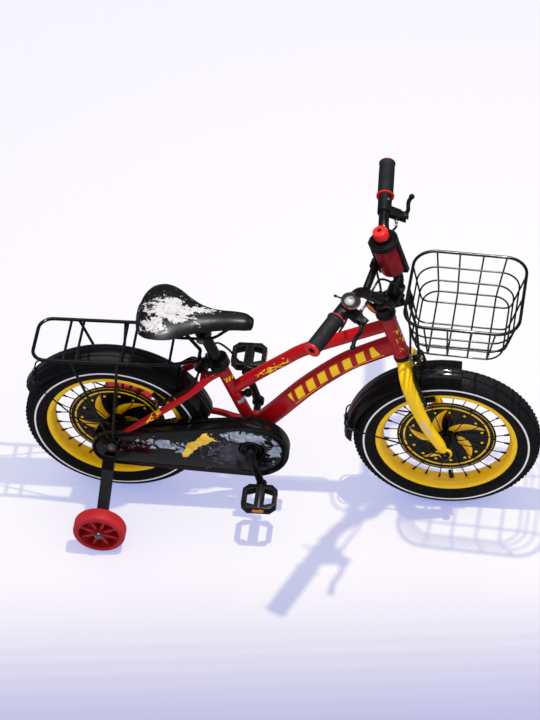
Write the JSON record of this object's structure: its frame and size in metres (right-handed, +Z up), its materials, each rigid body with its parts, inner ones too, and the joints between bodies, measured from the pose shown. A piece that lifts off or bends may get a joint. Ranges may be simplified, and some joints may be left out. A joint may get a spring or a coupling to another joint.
{
  "type": "children's bicycle",
  "caption": "Children's bicycle with stabiliser wheels, front basket, bottle in a cage on the bar, rear rack, mudguards, chain case, rim brakes and disc-covered spoked wheels.",
  "frame": {"origin": "centre of the rear tyre's contact facet, on the ground under the rear axle", "axes": "+X forwards along the bicycle, +Y to the rider's left, +Z up"},
  "size_m": [1.159, 0.5375, 0.8444],
  "materials": {
    "frame_paint": "gloss red paint",
    "black_paint": "gloss black paint",
    "black_plastic": "satin moulded plastic",
    "gloss_plastic": "gloss moulded plastic",
    "tyre_rubber": "matte tyre rubber with a light sidewall band",
    "grip_rubber": "matte grip rubber",
    "rim_paint": "gloss yellow paint",
    "disc_plastic": "gloss printed plastic",
    "red_plastic": "satin moulded plastic",
    "bottle_red": "metallic red",
    "cap_red": "gloss moulded plastic",
    "steel": "plain steel",
    "chrome": "polished chrome",
    "saddle_cover": "padded synthetic cover"
  },
  "bodies": {
    "frame": {"main_frame": "frame_paint", "frame_plug": "black_plastic", "lower_head_cup": "black_paint", "upper_head_cup": "black_paint", "rear_rack": "black_paint", "chain": "steel", "chain_case_inner": "gloss_plastic", "chain_case_outer": "gloss_plastic", "rear_axle": "steel", "rear_mudguard": "gloss_plastic", "rear_mudguard_stay": "steel", "seat_clamp": "black_paint", "stabiliser_bracket_right": "black_paint", "stabiliser_bracket_left": "black_paint", "rear_brake_cable": "black_plastic"},
    "clamp_lever": {"seat_clamp_lever": "black_paint"},
    "rear_calliper_right": {"rear_brake_arm_right": "black_paint"},
    "rear_calliper_left": {"rear_brake_arm_left": "black_paint"},
    "rear_wheel": {"rear_tyre": "tyre_rubber", "rear_rim": "rim_paint", "rear_hub": "black_paint", "rear_disc": "disc_plastic", "rear_sprocket": "black_paint"},
    "steering": {"fork": "rim_paint", "front_axle": "steel", "front_mudguard": "gloss_plastic", "front_mudguard_stay": "steel", "stem": "black_paint", "handlebar": "black_paint", "grip_right": "grip_rubber", "grip_left": "grip_rubber", "lever_bracket_right": "black_plastic", "lever_bracket_left": "black_plastic", "bell_base": "black_plastic", "bell_dome": "chrome", "bottle_cage": "black_plastic", "basket": "black_paint", "basket_bracket": "black_paint", "front_reflector": "black_plastic", "front_brake_cable": "black_plastic"},
    "front_wheel": {"front_tyre": "tyre_rubber", "front_rim": "rim_paint", "front_hub": "black_paint", "front_disc": "disc_plastic"},
    "lever_right": {"brake_lever_right": "black_plastic"},
    "lever_left": {"brake_lever_left": "black_plastic"},
    "thumb_lever": {"bell_lever": "black_plastic"},
    "bottle_body": {"bottle": "bottle_red", "bottle_cap": "cap_red"},
    "front_calliper_right": {"front_brake_arm_right": "black_paint"},
    "front_calliper_left": {"front_brake_arm_left": "black_paint"},
    "cranks": {"crank": "black_paint", "chainring": "black_paint"},
    "pedal_right_body": {"pedal_right": "black_plastic"},
    "pedal_left_body": {"pedal_left": "black_plastic"},
    "stabiliser_right": {"stabiliser_wheel_right": "red_plastic"},
    "stabiliser_left": {"stabiliser_wheel_left": "red_plastic"},
    "seat": {"seat_post": "black_paint", "saddle_clamp": "black_paint", "saddle": "saddle_cover"}
  },
  "joints": [
    {"name": "steering_turn", "type": "hinge", "parent": "frame", "child": "steering", "pos_m": [0.71325, 0, 0.2075], "axis": [-0.2588, 0, 0.9659], "range_deg": [-60, 60], "deforming": ["rear_brake_cable"]},
    {"name": "rear_wheel_spin", "type": "hinge", "parent": "frame", "child": "rear_wheel", "pos_m": [0, 0, 0.2075], "axis": [0, 1, 0], "continuous": true},
    {"name": "front_wheel_spin", "type": "hinge", "parent": "steering", "child": "front_wheel", "pos_m": [0.741, 0, 0.2075], "axis": [0, 1, 0], "continuous": true},
    {"name": "crank_turn", "type": "hinge", "parent": "frame", "child": "cranks", "pos_m": [0.311, 0, 0.204], "axis": [0, 1, 0], "continuous": true},
    {"name": "pedal_right_spin", "type": "hinge", "parent": "cranks", "child": "pedal_right_body", "pos_m": [0.33294, -0.09, 0.11599], "axis": [0, 1, 0], "continuous": true},
    {"name": "pedal_left_spin", "type": "hinge", "parent": "cranks", "child": "pedal_left_body", "pos_m": [0.28906, 0.09, 0.29201], "axis": [0, 1, 0], "continuous": true},
    {"name": "stabiliser_right_spin", "type": "hinge", "parent": "frame", "child": "stabiliser_right", "pos_m": [-0.0233, -0.2005, 0.0592], "axis": [0, 1, 0], "continuous": true},
    {"name": "stabiliser_left_spin", "type": "hinge", "parent": "frame", "child": "stabiliser_left", "pos_m": [-0.0233, 0.2005, 0.0592], "axis": [0, 1, 0], "continuous": true},
    {"name": "brake_lever_right_squeeze", "type": "hinge", "parent": "steering", "child": "lever_right", "pos_m": [0.57716, -0.15458, 0.72292], "axis": [-0.4345, 0.2302, -0.8708], "range_deg": [0, 22], "stiffness_Nm_per_rad": 0.4},
    {"name": "brake_lever_left_squeeze", "type": "hinge", "parent": "steering", "child": "lever_left", "pos_m": [0.63961, 0.13951, 0.73965], "axis": [0.4703, -0.0616, 0.8803], "range_deg": [0, 22], "stiffness_Nm_per_rad": 0.4},
    {"name": "front_calliper_right_pivot", "type": "hinge", "parent": "steering", "child": "front_calliper_right", "pos_m": [0.64855, 0, 0.44898], "axis": [0.9659, 0, 0.2588], "range_deg": [0, 0.5]},
    {"name": "front_calliper_left_pivot", "type": "hinge", "parent": "steering", "child": "front_calliper_left", "pos_m": [0.64855, 0, 0.44898], "axis": [0.9659, 0, 0.2588], "range_deg": [-0.5, 0]},
    {"name": "rear_calliper_right_pivot", "type": "hinge", "parent": "frame", "child": "rear_calliper_right", "pos_m": [0.2085, 0, 0.3785], "axis": [-0.6341, 0, 0.7732], "range_deg": [-0.45, 0]},
    {"name": "rear_calliper_left_pivot", "type": "hinge", "parent": "frame", "child": "rear_calliper_left", "pos_m": [0.2085, 0, 0.3785], "axis": [-0.6341, 0, 0.7732], "range_deg": [0, 0.45]},
    {"name": "bell_lever_press", "type": "hinge", "parent": "steering", "child": "thumb_lever", "pos_m": [0.5427, -0.13556, 0.7627], "axis": [0.1635, -0.1033, 0.9811], "range_deg": [-20, 0], "stiffness_Nm_per_rad": 0.02},
    {"name": "bottle_lift", "type": "slide", "parent": "steering", "child": "bottle_body", "axis": [-0.2588, 0, 0.9659], "range_m": [0, 0.12]},
    {"name": "seat_height", "type": "slide", "parent": "frame", "child": "seat", "axis": [-0.3007, 0, 0.9537], "range_m": [-0.03, 0.05]},
    {"name": "clamp_lever_turn", "type": "hinge", "parent": "frame", "child": "clamp_lever", "pos_m": [0.2209, -0.0288, 0.40994], "axis": [-0.3007, 0, 0.9537], "range_deg": [-150, 0]}
  ],
  "couplings": [
    {"joint": "crank_turn", "follows": "rear_wheel_spin", "ratio": 0.5},
    {"joint": "front_calliper_right_pivot", "follows": "brake_lever_right_squeeze", "ratio": 0.0225},
    {"joint": "front_calliper_left_pivot", "follows": "brake_lever_right_squeeze", "ratio": -0.0225},
    {"joint": "rear_calliper_right_pivot", "follows": "brake_lever_left_squeeze", "ratio": -0.02},
    {"joint": "rear_calliper_left_pivot", "follows": "brake_lever_left_squeeze", "ratio": 0.02}
  ]
}
